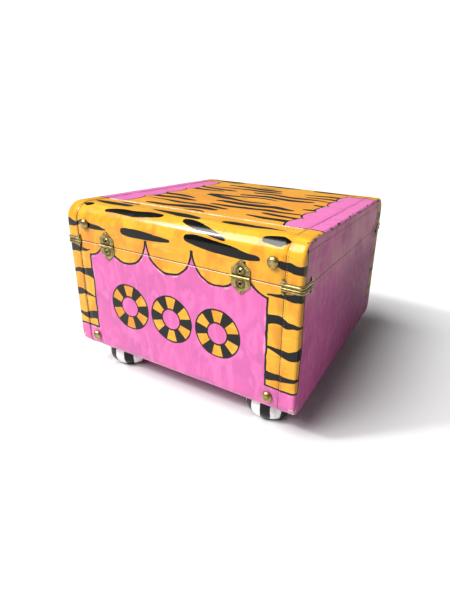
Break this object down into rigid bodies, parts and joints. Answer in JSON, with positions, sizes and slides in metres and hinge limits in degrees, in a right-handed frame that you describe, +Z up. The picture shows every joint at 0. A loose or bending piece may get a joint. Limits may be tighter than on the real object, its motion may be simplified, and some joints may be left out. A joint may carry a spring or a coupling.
{
  "type": "keepsake suitcase box on feet",
  "caption": "Small square suitcase used as a keepsake box: hinged lid with rolled edges, catches, swinging handle, corner clamps and turned bun feet.",
  "frame": {"origin": "on the surface that the box stands on, midway between the four feet, under the centre of the closed body", "axes": "+Z up; +Y towards the hinge side; -Y towards the side with the handle and catches; +X to the right for someone facing the handle"},
  "size_m": [0.308, 0.3282, 0.217],
  "materials": {
    "painted_covering": "painted fibreboard under a gloss varnish",
    "painted_end": "painted covering, wrapped round the ends and stitched, gloss varnish",
    "antique_brass": "aged brass with dark recesses and rubbed high spots",
    "plated_steel": "dull plated steel",
    "foot_paint": "turned wood in black and white gloss paint",
    "lining_paper": "aged paper pasted inside",
    "bare_wood": "thin bare wood, rubbed pale at the edge",
    "handle_leather": "worn brown leather with stitched edges"
  },
  "bodies": {
    "case": {"body_shell": "painted_covering", "body_end_cover_left": "painted_end", "body_end_cover_right": "painted_end", "closing_lip": "bare_wood", "body_lining": "lining_paper", "foot_front_left": "foot_paint", "foot_front_right": "foot_paint", "foot_rear_left": "foot_paint", "foot_rear_right": "foot_paint", "foot_screws": "plated_steel", "foot_washers": "plated_steel", "corner_clamp_body_front_left": "antique_brass", "corner_clamp_body_front_right": "antique_brass", "corner_clamp_body_rear_left": "antique_brass", "corner_clamp_body_rear_right": "antique_brass", "clamp_rivets_body": "antique_brass", "hinge_leaf_body_left": "antique_brass", "hinge_leaf_body_right": "antique_brass", "hinge_pin_left": "antique_brass", "hinge_pin_right": "antique_brass", "hinge_rivets_body": "antique_brass", "rest_studs_body": "antique_brass", "handle_bracket_left": "antique_brass", "handle_bracket_right": "antique_brass", "handle_rivets": "antique_brass", "catch_case_left": "antique_brass", "catch_case_right": "antique_brass", "catch_rivets_body": "antique_brass"},
    "lid": {"lid_shell": "painted_covering", "lid_end_cover_left": "painted_end", "lid_end_cover_right": "painted_end", "lid_lining": "lining_paper", "corner_clamp_lid_front_left": "antique_brass", "corner_clamp_lid_front_right": "antique_brass", "corner_clamp_lid_rear_left": "antique_brass", "corner_clamp_lid_rear_right": "antique_brass", "clamp_rivets_lid": "antique_brass", "hinge_leaf_lid_left": "antique_brass", "hinge_leaf_lid_right": "antique_brass", "hinge_rivets_lid": "antique_brass", "rest_studs_lid": "antique_brass", "hasp_plate_left": "antique_brass", "hasp_plate_right": "antique_brass", "hasp_pin_left": "plated_steel", "hasp_pin_right": "plated_steel", "catch_rivets_lid": "antique_brass"},
    "handle": {"handle_grip": "handle_leather", "handle_loop_left": "antique_brass", "handle_loop_right": "antique_brass"},
    "hasp_left": {"hasp_left": "antique_brass"},
    "hasp_right": {"hasp_right": "antique_brass"},
    "button_left": {"catch_button_left": "antique_brass"},
    "button_right": {"catch_button_right": "antique_brass"}
  },
  "joints": [
    {"name": "lid_hinge", "type": "hinge", "parent": "case", "child": "lid", "pos_m": [0, 0.15425, 0.173], "axis": [-1, 0, 0], "range_deg": [0, 165]},
    {"name": "handle_swing", "type": "hinge", "parent": "case", "child": "handle", "pos_m": [0, -0.1543, 0.149], "axis": [-1, 0, 0], "range_deg": [0, 145]},
    {"name": "hasp_left_swing", "type": "hinge", "parent": "lid", "child": "hasp_left", "pos_m": [-0.105, -0.1585, 0.1835], "axis": [-1, 0, 0], "range_deg": [-25, 65], "stiffness_Nm_per_rad": 0.03},
    {"name": "hasp_right_swing", "type": "hinge", "parent": "lid", "child": "hasp_right", "pos_m": [0.105, -0.1585, 0.1835], "axis": [-1, 0, 0], "range_deg": [-25, 65], "stiffness_Nm_per_rad": 0.03},
    {"name": "button_left_slide", "type": "slide", "parent": "case", "child": "button_left", "axis": [-1, 0, 0], "range_m": [0, 0.004]},
    {"name": "button_right_slide", "type": "slide", "parent": "case", "child": "button_right", "axis": [1, 0, 0], "range_m": [0, 0.004]}
  ]
}
